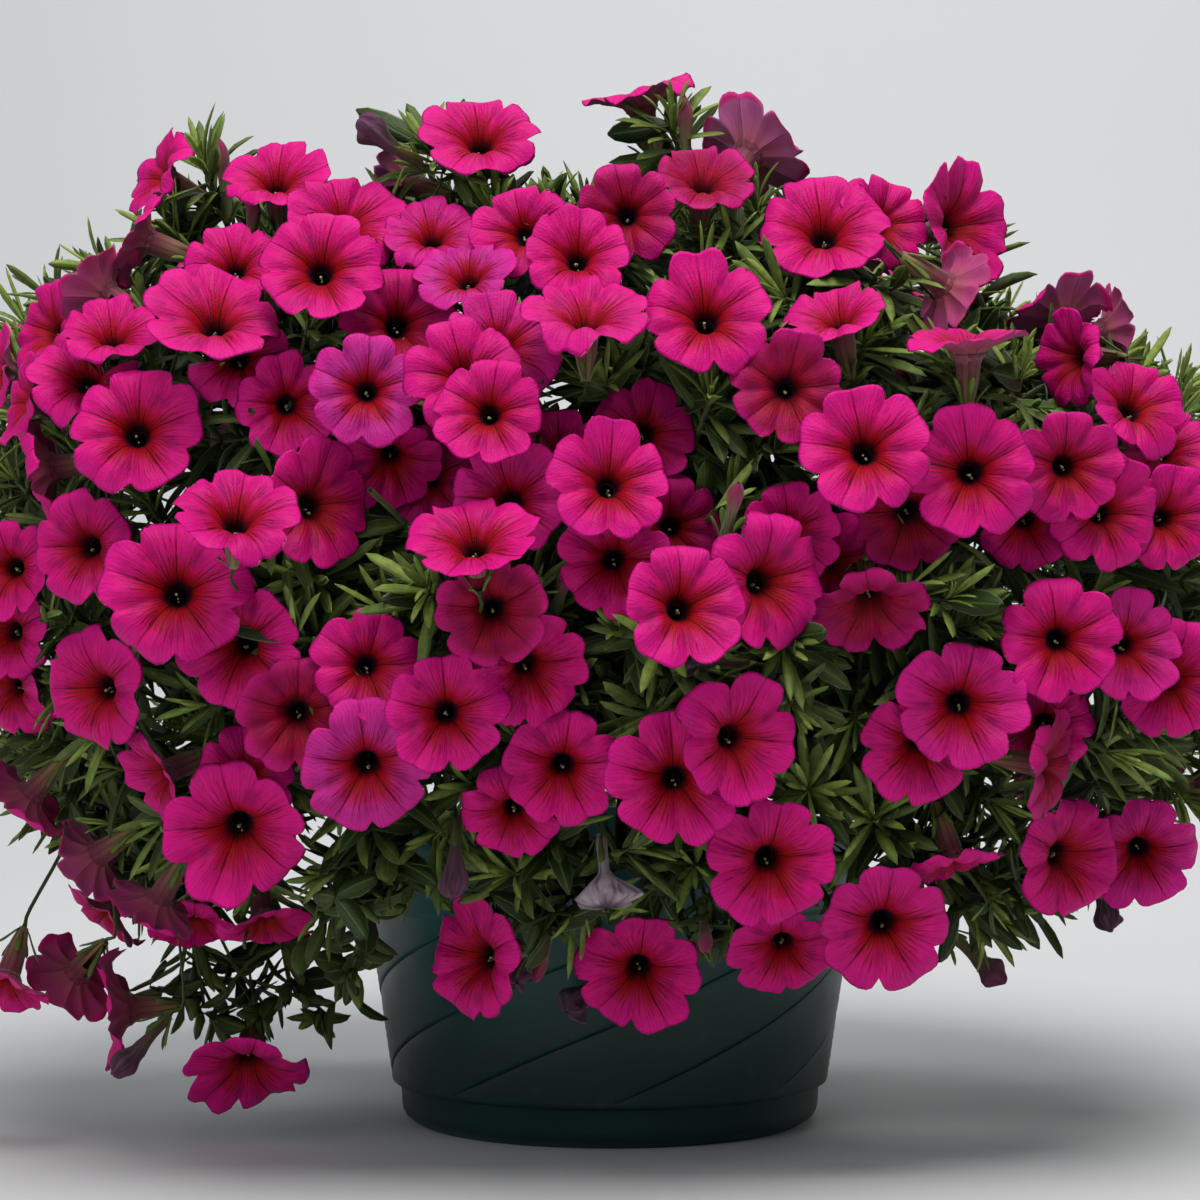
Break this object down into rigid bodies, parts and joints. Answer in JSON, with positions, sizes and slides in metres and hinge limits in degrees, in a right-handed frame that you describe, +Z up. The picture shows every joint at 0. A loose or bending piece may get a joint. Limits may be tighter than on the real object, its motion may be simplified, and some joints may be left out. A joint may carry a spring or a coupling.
{
  "type": "potted petchoa",
  "caption": "Bushy, trailing petchoa in full flower: magenta trumpet blooms with dark throats over small hairy leaves, in a dark green fluted plastic pot of soil.",
  "frame": {"origin": "centre of the pot's foot, on the surface it stands on", "axes": "Z up, X to the right as seen from the front, the plant's front faces -Y"},
  "size_m": [0.6944, 0.6581, 0.5204],
  "materials": {
    "pot_plastic": "semi-matte dark green plastic",
    "potting_mix": "matte, crumbly",
    "leaf": "matte, softly hairy",
    "petal": "soft, slightly velvety"
  },
  "bodies": {
    "root": {"pot": "pot_plastic", "soil": "potting_mix", "leafy_stem_01": "leaf", "leafy_stem_02": "leaf", "leafy_stem_03": "leaf", "leafy_stem_04": "leaf", "leafy_stem_05": "leaf", "leafy_stem_06": "leaf", "leafy_stem_07": "leaf", "leafy_stem_08": "leaf", "leafy_stem_09": "leaf", "leafy_stem_10": "leaf", "leafy_stem_11": "leaf", "leafy_stem_12": "leaf", "flower_spray_01": "petal", "flower_spray_02": "petal", "flower_spray_03": "petal", "flower_spray_04": "petal", "flower_spray_05": "petal", "flower_spray_06": "petal", "flower_spray_07": "petal", "flower_spray_08": "petal", "flower_spray_09": "petal", "flower_spray_10": "petal", "flower_spray_11": "petal", "flower_spray_12": "petal", "flower_spray_13": "petal", "flower_spray_14": "petal", "flower_spray_15": "petal", "flower_spray_16": "petal", "flower_spray_17": "petal", "flower_spray_18": "petal", "flower_spray_19": "petal", "flower_spray_20": "petal", "flower_spray_21": "petal", "flower_spray_22": "petal", "flower_spray_23": "petal", "flower_spray_24": "petal", "flower_spray_25": "petal", "flower_spray_26": "petal", "flower_spray_27": "petal", "flower_spray_28": "petal", "flower_spray_29": "petal", "flower_spray_30": "petal", "flower_spray_31": "petal", "flower_spray_32": "petal", "flower_spray_33": "petal", "flower_spray_34": "petal", "flower_spray_35": "petal", "flower_spray_36": "petal", "flower_spray_37": "petal", "flower_spray_38": "petal", "flower_spray_39": "petal", "flower_spray_40": "petal", "flower_spray_41": "petal", "flower_spray_42": "petal", "flower_spray_43": "petal", "flower_spray_44": "petal"}
  },
  "joints": []
}
